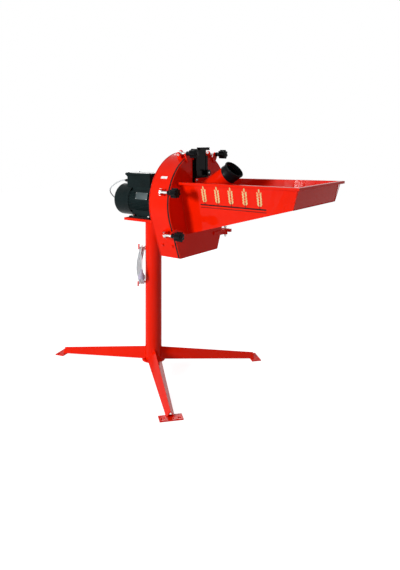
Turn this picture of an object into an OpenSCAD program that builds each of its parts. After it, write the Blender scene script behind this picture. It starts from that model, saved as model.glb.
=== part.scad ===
// Feed grinder: a hammer mill with its motor and feed tray on a three-legged column.
// Units are mm, +Z is up and +X runs from the motor to the tray.
// The origin is on the floor under the middle of the column.

/* [Stand] */
// Column tube, outer diameter
column_od = 88.9; // [76:0.1:96]
// Column tube wall
column_wall = 4; // [3:0.5:6]
// Top of the column, where the motor plate rests
column_top = 814; // [810:1:818]
// Width of each foot plate, across the leg
foot_width = 108; // [90:1:130]
// Sheet thickness of the folded legs
leg_sheet = 4; // [3:0.5:5]

/* [Motor] */
// Height of the motor and rotor axis
axis_z = 909; // [906:0.5:912]
// Outer radius over the cooling fins
fin_r = 87; // [85:0.5:87]
// Pitch of the cooling fins
fin_pitch = 8; // [8:0.5:12]
// Vent slots in the end of the fan cowl
vents = 16; // [8:1:20]
// Blades on the cooling fan
fan_blades = 7; // [5:1:9]

/* [Mill] */
// Outer radius of the mill drum
drum_r = 246; // [244:0.5:248]
// Sheet thickness of the drum
drum_sheet = 4; // [3:0.5:5]
// Tip radius of the swing hammers
hammer_tip = 180; // [160:1:184]
// Hammer width, across the plate
hammer_w = 40; // [30:1:44]
// Holes round the sieve
sieve_cols = 15; // [5:1:21]
// Rows of sieve holes along the axis
sieve_rows = 5; // [3:1:6]

/* [Clamps] */
// Radius of the swing bolts
bolt_r = 6; // [5:0.5:6]
// Radius of the clamp pivot pins
pivot_r = 4; // [3:0.5:5]
// Reach of a bolt axis outside the drum rim
bolt_out = 25; // [24:0.5:26]
// Lobes on each star knob
knob_lobes = 7; // [5:1:8]

/* [Gate and inlet] */
// Half the width of the slide gate
gate_half = 37; // [34:0.5:37]
// Upward tilt of the inlet pipe
pipe_tilt = 32; // [28:1:36]
// Outer radius of the inlet pipe
pipe_r = 50; // [44:1:52]
// Outer radius of the rubber collar
collar_r = 54; // [53:0.5:58]

/* [Tray] */
// Half the width of the tray floor at the mill
floor_near = 100; // [90:1:110]
// Half the width of the tray floor at the far end
floor_far = 214; // [205:1:216]
// Width of the turned-out rim
rim_w = 20; // [16:1:22]
// Depth of the lip under the rim
rim_lip = 12; // [8:1:14]

/* [Power lead] */
// Diameter of the power lead
lead_d = 7; // [6:0.1:7]

/* [Hidden] */
$fn = 48;
col_r = column_od / 2;
drum_z = 930;
side_a = 21.3;
mouth_z = 272;
cover_x = 315;
paint = "orangered";
dark = "darkslategray";
steel = "silver";

// Clamps: lean of the outward normal above level, then the rim point in Y and Z.
clamps = [
    for (f = [13.2, 64.6, 120]) [f, -drum_r * cos(f), drum_z + drum_r * sin(f)],
    [-side_a, -209.9, 791]
];

// Solids set along X, at a height and offset.
module rod_x(x, len, r, y = 0, z = 0)
    translate([x, y, z]) rotate([0, 90, 0]) cylinder(r = r, h = len);
module cone_x(x, len, r1, r2, y = 0, z = 0)
    translate([x, y, z]) rotate([0, 90, 0]) cylinder(r1 = r1, r2 = r2, h = len);
module hex_x(x, len, r, y = 0, z = 0)
    translate([x, y, z]) rotate([0, 90, 0]) cylinder(r = r, h = len, $fn = 6);
module box(x0, x1, y0, y1, z0, z1)
    translate([x0, y0, z0]) cube([x1 - x0, y1 - y0, z1 - z0]);
module plate_x(x, len)
    translate([x, 0, 0]) rotate([90, 0, 90]) linear_extrude(len) children();

// Skin through a row of outlines, each listed anticlockwise as seen along the row. The
// side named by turned is split along the other diagonal.
module loft(s, turned = -1) {
    n = len(s[0]);
    m = len(s);
    polyhedron(
        points = [for (q = s) for (p = q) p],
        faces = concat(
            [[for (j = [n - 1:-1:0]) j]],
            [for (i = [0:m - 2]) for (j = [0:n - 1]) for (k = [0, 1])
                let (a = i * n + j, b = i * n + (j + 1) % n, t = j == turned)
                k == 0 ? [a, b, t ? a + n : b + n] : [t ? b : a, b + n, a + n]],
            [[for (j = [0:n - 1]) (m - 1) * n + j]]));
}

// Stand

module column() color(paint) difference() {
    translate([0, 0, 52]) cylinder(r = col_r, h = column_top - 52);
    translate([0, 0, 51]) cylinder(r = col_r - column_wall, h = column_top);
}

module base_disc() color(paint) translate([0, 0, 44]) cylinder(d = 125, h = 8);

// Folded leg of an inverted V, deep at the column and shallow at the foot. The width
// narrows at the rate that keeps both sheets flat.
function leg_side(r) = let (
    w = 37 - (r - 44.45) * 37 * (0.147 - 0.0973) / 55,
    zb = 54 - (r - 44.45) * 0.0973,
    zr = 109 - (r - 44.45) * 0.147,
    a = atan((zr - zb) / w),
    th = leg_sheet / sin(a),
    tv = leg_sheet / cos(a))
    [[r, -w, zb], [r, 0, zr], [r, 0, zr - tv], [r, th - w, zb]];

module leg() {
    difference() {
        for (m = [0, 1]) mirror([0, m, 0]) loft([leg_side(30), leg_side(570)]);
        translate([0, 0, 30]) cylinder(r = col_r, h = 120);
        box(500, 600, -60, 60, -20, 5);
        for (m = [0, 1]) mirror([0, m, 0]) rotate([0, 0, 45]) box(-10, 120, 0.1, 60, 0, 130);
    }
    difference() {
        box(548, 600, -foot_width / 2, foot_width / 2, 0, 5);
        for (s = [-1, 1]) translate([585, s * (foot_width / 2 - 16), -1]) cylinder(r = 6, h = 7);
    }
}
module front_leg() color(paint) rotate([0, 0, -41]) leg();
module right_leg() color(paint) rotate([0, 0, 49.5]) leg();
module left_leg() color(paint) rotate([0, 0, 195.5]) leg();

module cable_hooks() color(paint) rotate([0, 0, 216.6]) difference() {
    union() {
        rod_x(30, 50, 4, 0, 645);
        translate([80, 0, 645]) sphere(r = 4);
        translate([80, 0, 645]) cylinder(r = 4, h = 27);
        rod_x(30, 54, 4, 0, 465);
        translate([84, 0, 465]) sphere(r = 4);
        translate([84, 0, 441]) cylinder(r = 4, h = 24);
    }
    translate([0, 0, 400]) cylinder(r = col_r, h = 300);
}

// Folded plate under the motor, with two gussets to the back of the drum.
module motor_plate() color(paint) {
    difference() {
        box(-120, 187, -105, 105, 806, 819);
        box(-116, 188, -101, 101, 800, 814);
        for (x = [-85, 30]) for (y = [-70, 70])
            translate([x, y, 800]) cylinder(r = 5.5, h = 30);
    }
    for (s = [-1, 1]) translate([0, s * 60 + 2.5, 0]) rotate([90, 0, 0])
        linear_extrude(5) polygon([[90, 814], [187, 814], [187, 700], [175, 700]]);
}

// Motor

module motor_body() color(dark) {
    difference() {
        union() {
            rod_x(-110, 170, 78, 0, axis_z);
            intersection() {
                rod_x(-110, 170, fin_r, 0, axis_z);
                union() {
                    for (k = [-6:6]) box(-110, 60, -90, 90,
                        axis_z + fin_pitch * k - 1.5, axis_z + fin_pitch * k + 1.5);
                    for (k = [-6:6]) box(-110, 60, fin_pitch * k - 1.5,
                        fin_pitch * k + 1.5, axis_z - 90, axis_z + 90);
                }
            }
            box(-105, 17, -30, 30, 970, 998);
            for (s = [-1, 1]) {
                box(-100, 45, min(s * 52, s * 88), max(s * 52, s * 88), 819, 828);
                box(-100, 45, min(s * 52, s * 61), max(s * 52, s * 61), 824, 866);
            }
        }
        rod_x(-100, 200, 74, 0, axis_z);
        rod_x(-111, 30, 26, 0, axis_z);
        for (x = [-85, 30]) for (y = [-70, 70])
            translate([x, y, 810]) cylinder(r = 5.5, h = 30);
    }
    difference() {
        rod_x(-104, 14, 34, 0, axis_z);
        rod_x(-105, 16, 26, 0, axis_z);
    }
}

module fan_cowl() color(dark) difference() {
    union() {
        rod_x(-205, 95, 87.5, 0, axis_z);
        rod_x(-225, 21, 67.5, 0, axis_z);
        translate([-205, 0, axis_z]) rotate([0, 90, 0]) rotate_extrude()
            translate([67.5, 0]) circle(r = 20);
    }
    rod_x(-205, 96, 85.5, 0, axis_z);
    rod_x(-223, 21, 67.5, 0, axis_z);
    translate([-205, 0, axis_z]) rotate([0, 90, 0]) rotate_extrude()
        translate([67.5, 0]) circle(r = 18);
    for (k = [0:vents - 1]) translate([0, 0, axis_z]) rotate([360 * k / vents, 0, 0])
        box(-226, -222, -2.5, 2.5, 24, 62);
}

module drive_end_bell() color(dark) {
    difference() {
    union() {
        rod_x(60, 12, 82, 0, axis_z);
        cone_x(72, 20, 70, 42, 0, axis_z);
        rod_x(92, 8, 36, 0, axis_z);
    }
    rod_x(59, 13, 66, 0, axis_z);
    cone_x(72, 12, 66, 46, 0, axis_z);
    rod_x(71, 21, 26, 0, axis_z);
    rod_x(70, 40, 13, 0, axis_z);
    }
    difference() {
        rod_x(72, 14, 34, 0, axis_z);
        rod_x(71, 16, 26, 0, axis_z);
    }
}

module stator_core() color("dimgray") {
    difference() {
        rod_x(-85, 120, 74, 0, axis_z);
        rod_x(-86, 122, 43, 0, axis_z);
    }
    for (x = [-95, 35]) difference() {
        rod_x(x, 10, 68, 0, axis_z);
        rod_x(x - 1, 12, 47, 0, axis_z);
    }
}

module motor_rotor() color("gray") difference() {
    rod_x(-85, 120, 42, 0, axis_z);
    rod_x(-86, 122, 12, 0, axis_z);
}

module motor_shaft() color(steel) difference() {
    rod_x(-192, 320, 12, 0, axis_z);
    rod_x(127, 2, 3, 0, axis_z);
}

module cooling_fan() color("black") difference() {
    union() {
        rod_x(-190, 26, 20, 0, axis_z);
        rod_x(-167, 3, 62, 0, axis_z);
        for (k = [0:fan_blades - 1]) translate([0, 0, axis_z])
            rotate([360 * k / fan_blades, 0, 0]) box(-188, -164, -1.5, 1.5, 15, 72);
    }
    rod_x(-191, 28, 12, 0, axis_z);
}

// Plain rings in the motor's two ends and in the housing behind the mill.
module ball_bearings() color(steel) {
    for (x = [-106, 74]) difference() {
        rod_x(x, 15, 26, 0, axis_z);
        rod_x(x - 1, 17, 12.05, 0, axis_z);
    }
    difference() {
        rod_x(163, 18, 31, 0, axis_z);
        rod_x(162, 20, 15.05, 0, axis_z);
    }
}

module terminal_box() color(dark) difference() {
    union() {
        box(-149, 17, -50, 50, 975, 1044);
        box(-152, 20, -53, 53, 1038, 1044);
    }
    rod_x(-160, 200, 87.5, 0, axis_z);
    box(-105, 17, -30, 30, 960, 998);
    box(-145, 13, -46, 46, 1002, 1054);
    rod_x(-150, 6, 8, -35, 1014);
}

module terminal_lid() color(dark) {
    box(-159, 25, -57, 57, 1047, 1056);
    box(-156, 22, -54, 54, 1044, 1059);
    for (x = [-145, 11]) for (y = [-43, 43]) translate([x, y, 1059]) cylinder(r = 4, h = 2.5);
}

module cable_gland() color("black") difference() {
    union() {
        rod_x(-149, 4, 8, -35, 1014);
        hex_x(-156, 7, 12, -35, 1014);
        cone_x(-180, 24, 5.2, 9, -35, 1014);
    }
    rod_x(-181, 40, lead_d / 2 + 0.1, -35, 1014);
}

// Foot bolts with nuts, end bell screws and housing bolts.
module hex_bolts() color(steel) {
    for (x = [-85, 30]) for (y = [-70, 70]) {
        translate([x, y, 828]) cylinder(r = 9, h = 7, $fn = 6);
        translate([x, y, 804]) cylinder(r = 5, h = 30);
        translate([x, y, 807]) cylinder(r = 9, h = 7, $fn = 6);
    }
    for (a = [45:90:315]) translate([0, 0, axis_z]) rotate([a, 0, 0])
        hex_x(72, 5, 4.5, 0, 77);
    for (a = [45:90:315]) translate([0, 0, axis_z]) rotate([a, 0, 0])
        hex_x(174, 6, 6, 0, 47.5);
}

module shaft_coupling() color("gray") difference() {
    union() {
        rod_x(104, 20, 30, 0, axis_z);
        rod_x(124, 12, 27, 0, axis_z);
        rod_x(136, 20, 30, 0, axis_z);
        for (k = [0:5]) translate([0, 0, axis_z]) rotate([60 * k, 0, 0])
            box(123, 137, -5, 5, 20, 29);
    }
    rod_x(103, 25, 12, 0, axis_z);
    rod_x(132, 25, 15, 0, axis_z);
}

// Mill

module bearing_housing() color(paint) difference() {
    union() {
        rod_x(180, 7, 54, 0, axis_z);
        rod_x(160, 21, 40, 0, axis_z);
    }
    rod_x(163, 25, 31, 0, axis_z);
    rod_x(158, 10, 17, 0, axis_z);
}

module mill_shaft() color(steel) {
    rod_x(132, 158, 15, 0, axis_z);
    rod_x(290, 14, 10, 0, axis_z);
    hex_x(290, 11, 21, 0, axis_z);
}

// Round drum whose sides run straight down to an open bottom, shrunk evenly from the rim.
module drum_solid(x, len, r, down = mouth_z) {
    translate([x, 0, drum_z]) rotate([0, 90, 0]) cylinder(r = r, h = len, $fn = 120);
    plate_x(x, len) translate([0, drum_z]) polygon([
        [r * cos(side_a), -r * sin(side_a)],
        [(r - sin(side_a) * down) / cos(side_a), -down],
        [-(r - sin(side_a) * down) / cos(side_a), -down],
        [-r * cos(side_a), -r * sin(side_a)], [-r / 2, r / 5], [r / 2, r / 5]]);
}

module back_plate() color(paint) difference() {
    drum_solid(187, 5, drum_r);
    rod_x(186, 7, 18, 0, axis_z);
}

module drum_shell() color(paint) {
    difference() {
        drum_solid(192, 113, drum_r);
        drum_solid(190, 111, drum_r - drum_sheet, mouth_z + 20);
        drum_solid(190, 120, drum_r - 20, mouth_z + 20);
    }
    intersection() {
        for (s = [-1, 1]) box(192, 301, min(s * 194, s * 242), max(s * 194, s * 242), 901, 905);
        drum_solid(192, 109, drum_r - 1);
    }
}

module sieve() color(steel) {
    difference() {
        intersection() {
            rod_x(193, 111, 194, 0, axis_z);
            box(193, 304, -196, 196, 700, 905);
        }
        rod_x(190, 120, 192, 0, axis_z);
        for (i = [0:sieve_cols - 1]) for (k = [0:sieve_rows - 1])
            translate([208 + k * 80 / (sieve_rows - 1), 0, axis_z])
                rotate([(i - (sieve_cols - 1) / 2) * 140 / sieve_cols, 0, 0])
                translate([0, 0, -200]) cylinder(r = 6, h = 12, $fn = 6);
    }
    for (s = [-1, 1]) box(193, 304, min(s * 192, s * 214), max(s * 192, s * 214), 905, 907);
}

module rotor_discs() color("gray") difference() {
    union() {
        for (x = [206, 244, 282]) rod_x(x, 6, 120, 0, axis_z);
        rod_x(202, 88, 35, 0, axis_z);
    }
    rod_x(200, 92, 15, 0, axis_z);
    for (a = [45:90:315]) translate([0, 0, axis_z]) rotate([a, 0, 0]) rod_x(204, 90, 7.2, 95, 0);
}

module hammer_pins() color(steel) for (a = [45:90:315]) translate([0, 0, axis_z])
    rotate([a, 0, 0]) {
        rod_x(203, 88, 7, 95, 0);
        rod_x(203, 3, 11, 95, 0);
        rod_x(288, 3, 11, 95, 0);
    }

module hammer_spacers() color("darkgray") for (a = [45:90:315]) translate([0, 0, axis_z])
    rotate([a, 0, 0]) for (x = [212, 232.4, 250, 270.4]) difference() {
        rod_x(x, 11.6, 11, 95, 0);
        rod_x(x - 1, 14, 7.05, 95, 0);
    }

// Two flat hammers on one pin, with a worn corner cut and a round heel.
module hammer_pair(a) color("slategray") translate([0, 0, axis_z]) rotate([a, 0, 0])
    for (x = [224, 262]) difference() {
        union() {
            box(x, x + 8, 95, hammer_tip, -hammer_w / 2, hammer_w / 2);
            rod_x(x, 8, hammer_w / 2, 95, 0);
        }
        rod_x(x - 1, 10, 7.08, 95, 0);
        for (s = [-1, 1]) translate([x - 1, hammer_tip, s * hammer_w / 2]) rotate([45, 0, 0])
            box(0, 10, -3, 3, -3, 3);
    }
module hammers_1() hammer_pair(45);
module hammers_2() hammer_pair(135);
module hammers_3() hammer_pair(225);
module hammers_4() hammer_pair(315);

// Clamps: local -Y is outward from the rim, local Z runs along the rim.

module at_clamp(k) translate([0, clamps[k][1], clamps[k][2]]) rotate([-clamps[k][0], 0, 0])
    children();

module clamp_ears() color(paint) difference() {
    for (k = [0:3]) at_clamp(k) for (z = [-14, 8]) translate([0, 0, z]) difference() {
        union() {
            box(265, 289, -bolt_out, 9, 0, 6);
            translate([277, -bolt_out, 0]) cylinder(r = 12, h = 6);
        }
        translate([277, -bolt_out, -1]) cylinder(r = pivot_r, h = 8);
    }
    drum_solid(250, 60, drum_r);
}

module pivot_pins() color(steel) for (k = [0:3]) at_clamp(k) {
    translate([277, -bolt_out, -14]) cylinder(r = pivot_r, h = 31);
    translate([277, -bolt_out, 14]) cylinder(r = 7, h = 3);
    translate([277, -bolt_out, -17]) cylinder(r = 7, h = 3);
}

module swing_bolt(k) color(steel) at_clamp(k) difference() {
    union() {
        translate([277, -bolt_out, -7.5]) cylinder(r = 10, h = 15);
        rod_x(277, 95, bolt_r, -bolt_out, 0);
    }
    translate([277, -bolt_out, -8]) cylinder(r = pivot_r + 0.06, h = 16);
}
module swing_bolt_1() swing_bolt(0);
module swing_bolt_2() swing_bolt(1);
module swing_bolt_3() swing_bolt(2);
module swing_bolt_4() swing_bolt(3);

module clamp_knob(k) color("black") at_clamp(k) difference() {
    union() {
        rod_x(323.6, 26, 11, -bolt_out, 0);
        cone_x(338, 10, 11, 17, -bolt_out, 0);
        rod_x(348, 34, 18, -bolt_out, 0);
        rod_x(380, 4, 14, -bolt_out, 0);
        for (j = [1:knob_lobes]) translate([0, -bolt_out, 0])
            rotate([360 * j / knob_lobes, 0, 0]) rod_x(350, 31, 6, 18, 0);
    }
    rod_x(322, 52, bolt_r + 0.08, -bolt_out, 0);
}
module clamp_knob_1() clamp_knob(0);
module clamp_knob_2() clamp_knob(1);
module clamp_knob_3() clamp_knob(2);
module clamp_knob_4() clamp_knob(3);

// Cover

module cover_seal() color("black") difference() {
    drum_solid(305, 4, drum_r);
    drum_solid(304, 6, drum_r - 18, mouth_z + 20);
}

module cover() color(paint) difference() {
    drum_solid(309, 6, drum_r);
    rod_x(308, 8, 32, 0, 973);
    box(308, 316, -33, 33, 790, 828);
}

module cover_forks() color(paint) for (k = [0:3]) at_clamp(k) difference() {
    box(315, 323, -bolt_out - 4, 18, -14, 14);
    box(314, 324, -bolt_out - 5, -bolt_out, -7, 7);
    rod_x(314, 10, 7, -bolt_out, 0);
}

module cover_hinges() color(paint) for (z = [745, 1002]) difference() {
    union() {
        box(276, 296, 150, 258, z - 24, z - 10);
        translate([301, 255, z - 24]) cylinder(r = 12, h = 14);
        box(315, 322, z < 800 ? 120 : 175, 258, z - 8, z + 8);
        box(276, 337, 247, 263, z - 8, z + 8);
        translate([301, 255, z - 34]) cylinder(r = 6, h = 50);
    }
    drum_solid(250, 65, drum_r);
}

// Gate and inlet

// Rest is shut: the plate's own port then lies below the pipe's, over plain cover.
module slide_gate() color("black") difference() {
    union() {
        box(324, 328, -gate_half, gate_half, 786, 1204);
        box(324, 350, -gate_half, gate_half, 1200, 1204);
        box(346, 350, -gate_half, gate_half, 1192, 1204);
    }
    rod_x(323, 6, 32, 0, 863);
}

module gate_guides() color(paint) difference() {
    union() {
        for (m = [0, 1]) mirror([0, m, 0]) {
            box(cover_x, 330, 37.5, 50, 787, 1160);
            box(cover_x, 323.6, 33.5, 50, 787, 1160);
            box(328.4, 330, 33.5, 50, 787, 1160);
            box(cover_x, 319, 50, 62, 840, 1140);
        }
        box(330, 334, -50, 50, 1061, 1085);
    }
    rod_x(329, 6, 3.06, 30, 1073);
}

module gate_knob() color("black") {
    rod_x(328.4, 12, 3, 30, 1073);
    rod_x(335, 6, 8, 30, 1073);
    rod_x(340, 12, 15, 30, 1073);
    for (j = [1:6]) translate([0, 30, 1073]) rotate([60 * j, 0, 0]) rod_x(341, 10, 4.5, 13, 0);
}

module on_pipe() translate([334, 0, 973]) rotate([0, 90 - pipe_tilt, 0]) children();

module inlet_pipe() color(paint) difference() {
    union() {
        intersection() {
            on_pipe() translate([0, 0, -60]) cylinder(r = pipe_r, h = 280);
            box(330, 700, -100, 100, 800, 1300);
        }
        box(330, 334, -60, 60, 898, 1048);
    }
    on_pipe() translate([0, 0, -90]) cylinder(r = pipe_r - 4, h = 400);
}

module inlet_collar() color("black") difference() {
    union() {
        on_pipe() translate([0, 0, 169]) cylinder(r = collar_r, h = 63);
        on_pipe() translate([0, 0, 227]) rotate_extrude() translate([collar_r - 1, 0]) circle(r = 3.5);
        on_pipe() translate([0, 0, 173]) rotate_extrude() translate([collar_r - 1, 0]) circle(r = 2.5);
    }
    on_pipe() translate([0, 0, 160]) cylinder(r = pipe_r, h = 60);
    on_pipe() translate([0, 0, 215]) cylinder(r = pipe_r - 3, h = 30);
}

// Tray: four mitred panels with a turned-out rim. Corners from the mill to the far end,
// with inner corners set so that neighbours share flat mitres.

rim_k = 12 / 681;
ta = [cover_x, -floor_near, 774];
tb = [955, -floor_far, 952];
tc = [980, -217, 1036 + 665 * rim_k];
td = [cover_x, -167, 1036];
lean = [-0.8 * 3.1, 3.1, -0.8 * 3.1 * rim_k];
te = tc - tb;
tu = (tb - ta) / (tb[0] - ta[0]);
sheet_z = 2.6;
mb = (sheet_z + lean[0] * tu[2] - lean[2]) / (te[2] - te[0] * tu[2]);
mk = -lean[0] - mb * te[0];
ma = lean[1] + mb * te[1] + mk * tu[1];
ta_in = ta + [0, ma, sheet_z];
tb_in = tb + lean + mb * te;
tc_in = tc + lean;
td_in = td + [0, 3.1, 0];
td_rim = td + [0, -rim_w, 0];
tc_rim = tc + [0.8 * rim_w, -rim_w, 0.8 * rim_w * rim_k];

function mix(a, b, s) = a + (b - a) * s;
function drop(p, d) = p - [0, 0, d];
function flip(p) = [p[0], -p[1], p[2]];
function strip(a, b, d) = [drop(a, d), a, b, drop(b, d)];

module tray_side() {
    loft([for (i = [0:12]) let (s = i / 12)
        [mix(ta, tb, s), mix(td, tc, s), mix(td_in, tc_in, s), mix(ta_in, tb_in, s)]], 2);
    loft([strip(td_rim, td_in, 2.5), strip(tc_rim, tc_in, 2.5)]);
    loft([strip(td_rim, td_rim + [0, 2.5, 0], rim_lip),
        strip(tc_rim, tc_rim + [-2, 2.5, -2 * rim_k], rim_lip)]);
}
module tray_near_wall() color(paint) tray_side();
module tray_far_wall() color(paint) mirror([0, 1, 0]) tray_side();

module tray_floor() color(paint)
    loft([[ta, ta_in, flip(ta_in), flip(ta)], [tb, tb_in, flip(tb_in), flip(tb)]]);

module tray_end_wall() color(paint) {
    loft([[tb, tc, tc_in, tb_in], [for (p = [tb, tc, tc_in, tb_in]) flip(p)]]);
    loft([strip(tc_rim, tc_in, 2.5), [for (p = strip(tc_rim, tc_in, 2.5)) flip(p)]]);
    loft([strip(tc_rim, tc_rim + [-2, 2.5, -2 * rim_k], rim_lip),
        [for (p = strip(tc_rim, tc_rim + [-2, 2.5, -2 * rim_k], rim_lip)) flip(p)]]);
}

// Power lead: a tube swept along points, then a hank hung on the two hooks.

function unit(v) = v / norm(v);
function tangents(p) = [for (i = [0:len(p) - 1])
    unit(p[min(i + 1, len(p) - 1)] - p[max(i - 1, 0)])];
function normals(t) = [for (i = 0, n = unit(cross(t[0], [0.31, 0.22, 0.93])); i < len(t);
    i = i + 1, n = i < len(t) ? unit(n - (n * t[i]) * t[i]) : n) n];
function rings(p, r, c) = let (t = tangents(p), n = normals(t))
    [for (i = [0:len(p) - 1]) let (b = cross(t[i], n[i]))
        [for (j = [0:c - 1]) p[i] + r * (cos(360 * j / c) * n[i] - sin(360 * j / c) * b)]];
function curve(p, m) = [
    for (i = [0:len(p) - 2]) let (
        p0 = p[max(i - 1, 0)], p1 = p[i], p2 = p[i + 1], p3 = p[min(i + 2, len(p) - 1)])
        for (s = [0:m - 1]) let (t = s / m)
            0.5 * (2 * p1 + (p2 - p0) * t + (2 * p0 - 5 * p1 + 4 * p2 - p3) * t * t
                + (3 * p1 - p0 - 3 * p2 + p3) * t * t * t),
    p[len(p) - 1]];

lead_points = [[-160, -35, 1014], [-174, -35, 1014], [-188, -35, 1014], [-208, -36, 1011],
    [-231, -38, 1003], [-268, -39, 984], [-303, -30, 960], [-328, -3, 933], [-335, 36, 901],
    [-317, 75, 866], [-272, 102, 840], [-216, 108, 829], [-165, 103, 825], [-130, 99, 824.5],
    [-112, 98, 825.5], [-98, 100.5, 826], [-86.5, 107.5, 822], [-79, 114.5, 812], [-75, 118, 798],
    [-74, 116.5, 780], [-71, 108, 760], [-66.5, 93, 739], [-61.5, 73, 718], [-57, 53, 700],
    [-53, 33, 684], [-50, 14, 669.5], [-49.4, -1, 660.5], [-48.1, -11.1, 656.3],
    [-44.8, -21, 653.8], [-39.3, -29.2, 653]];

// Hank in three directions: out along the hooks, across toward the viewer, and up.
hook_a = 216.6;
function from_hook(q) = [q[0] * cos(hook_a) - q[1] * sin(hook_a),
    q[0] * sin(hook_a) + q[1] * cos(hook_a), q[2]];
hank_mid = 555;
hank_half = 72;
hank_r = 26;
loops = 4;
function ease(t) = let (c = min(max(t, 0), 1)) c * c * (3 - 2 * c);
function hank_at(k) = let (
    j = k % 24,
    a = j < 4 ? 22.5 * j : j < 8 ? 90 : j <= 16 ? 90 + 22.5 * (j - 8)
        : j < 20 ? 270 : 270 + 22.5 * (j - 20),
    zc = j < 4 ? 1 : j < 8 ? 1 - (j - 4) / 2 : j <= 16 ? -1 : j < 20 ? (j - 18) / 2 : 1,
    r = hank_r + 8 * ease((k - 24 * loops + 12) / 6),
    z = zc * hank_half + r * cos(a),
    u = k < 90 ? 49 + 7.6 * k / 24 : 77.5 - 15 * ease((k - 90) / 6),
    bulge = 14 * pow(max(1 - pow(z / 90, 2), 0), 1.5))
    [u + bulge, r * sin(a), hank_mid + z];
tail = [[62, 34, 616], [61.5, 35, 604], [61, 38, 591], [60, 43, 577], [60, 48, 564],
    [60, 50, 552], [60, 50, 545]];
hank_points = [for (q = concat([for (k = [0:24 * loops + 4]) hank_at(k)], tail)) from_hook(q)];

// Least gap of the hank to itself, measured on its points.
hank_gap = min([for (i = [0:len(hank_points) - 8]) for (j = [i + 6:len(hank_points) - 1])
    norm(hank_points[i] - hank_points[j])]) - lead_d;
echo(hank_gap = hank_gap);

module cord_lead() color("gainsboro") loft(rings(curve(lead_points, 2), lead_d / 2, 8));
module cord_hank() color("gainsboro") loft(rings(hank_points, lead_d / 2, 6));

module plug() color("thistle") translate(from_hook([60, 50, 0])) {
    translate([0, 0, 528]) cylinder(r1 = 8, r2 = 5.5, h = 17);
    translate([0, 0, 512]) cylinder(r1 = 17, r2 = 8, h = 16);
    translate([0, 0, 494]) cylinder(r = 18, h = 18);
    rotate([0, 0, 40]) for (s = [-1, 1]) translate([s * 9.5, 0, 475]) cylinder(r = 2.4, h = 19);
}

column();
base_disc();
front_leg();
right_leg();
left_leg();
motor_plate();
cable_hooks();
motor_body();
fan_cowl();
drive_end_bell();
stator_core();
motor_rotor();
motor_shaft();
cooling_fan();
ball_bearings();
terminal_box();
terminal_lid();
cable_gland();
hex_bolts();
shaft_coupling();
bearing_housing();
mill_shaft();
back_plate();
drum_shell();
clamp_ears();
pivot_pins();
sieve();
rotor_discs();
hammer_pins();
hammer_spacers();
hammers_1();
hammers_2();
hammers_3();
hammers_4();
swing_bolt_1();
swing_bolt_2();
swing_bolt_3();
swing_bolt_4();
clamp_knob_1();
clamp_knob_2();
clamp_knob_3();
clamp_knob_4();
cover_seal();
cover();
cover_forks();
cover_hinges();
slide_gate();
gate_guides();
gate_knob();
inlet_pipe();
inlet_collar();
tray_near_wall();
tray_far_wall();
tray_floor();
tray_end_wall();
cord_lead();
cord_hank();
plug();
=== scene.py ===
import math

import bmesh
import bpy
from mathutils import Matrix, Vector


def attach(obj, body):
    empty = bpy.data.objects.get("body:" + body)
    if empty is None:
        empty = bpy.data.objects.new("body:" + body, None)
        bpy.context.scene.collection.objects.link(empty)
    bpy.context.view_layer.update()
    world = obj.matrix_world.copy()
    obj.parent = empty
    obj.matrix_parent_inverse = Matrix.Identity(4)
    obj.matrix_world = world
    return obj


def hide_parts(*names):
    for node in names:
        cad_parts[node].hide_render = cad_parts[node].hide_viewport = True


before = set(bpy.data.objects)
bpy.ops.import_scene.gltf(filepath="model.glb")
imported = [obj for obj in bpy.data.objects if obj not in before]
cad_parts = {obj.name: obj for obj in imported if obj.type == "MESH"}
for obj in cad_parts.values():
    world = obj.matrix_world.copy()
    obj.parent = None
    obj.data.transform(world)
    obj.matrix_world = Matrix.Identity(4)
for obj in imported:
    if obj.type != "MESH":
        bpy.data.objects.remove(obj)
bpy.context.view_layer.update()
scene = bpy.context.scene
scene.view_settings.view_transform = "Standard"


# Camera

# A level camera at chest height, a little over three metres away, with the picture
# slid down the sensor as a cropped product photograph has it.

camera = bpy.data.objects.new("photo_camera", bpy.data.cameras.new("photo_camera"))
camera.location = (2.0274, -2.3039, 1.2573)
camera.rotation_euler = (math.radians(90), 0, math.radians(36.6))
camera.data.sensor_width = 36
camera.data.lens = 35.33
camera.data.shift_y = -0.26
scene.collection.objects.link(camera)
scene.camera = camera


# Mains lead

# White three-core flex, 7 mm over its PVC sheath. It leaves the gland of the motor's
# terminal box, droops round behind the fan cowl, runs down the column and hangs in a
# hank of four turns on the two rods welded to the column.


def screen(red, green, blue):
    """A colour given as a screen shows it, turned into the linear one that a shader takes."""
    turned_linear = [
        c / 3294.6 if c <= 10 else ((c / 255 + 0.055) / 1.055) ** 2.4
        for c in (red, green, blue)
    ]
    return (*turned_linear, 1.0)


def feed(tree, node, inputs):
    """Give a shader node its inputs: values, or the sockets that feed them."""
    for name, value in inputs.items():
        if isinstance(value, bpy.types.NodeSocket):
            tree.links.new(value, node.inputs[name])
        else:
            node.inputs[name].default_value = value
    return node


def add(tree, kind, inputs=None, **settings):
    """Put a shader node in a tree."""
    node = tree.nodes.new("ShaderNode" + kind)
    for setting, value in settings.items():
        setattr(node, setting, value)
    return feed(tree, node, inputs or {})


def effect_group(name, takes, gives):
    """An empty node group with named inputs and outputs, for an effect that several finishes use."""
    group = bpy.data.node_groups.new(name, "ShaderNodeTree")
    for title, (kind, value) in takes.items():
        socket = group.interface.new_socket(title, in_out="INPUT", socket_type="NodeSocket" + kind)
        if value is not None:
            socket.default_value = value
    for title, kind in gives.items():
        group.interface.new_socket(title, in_out="OUTPUT", socket_type="NodeSocket" + kind)
    return group, group.nodes.new("NodeGroupInput").outputs


def close_group(group, results):
    """Join a group's results to its outputs."""
    end = group.nodes.new("NodeGroupOutput")
    for title, socket in results.items():
        group.links.new(socket, end.inputs[title])


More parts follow.
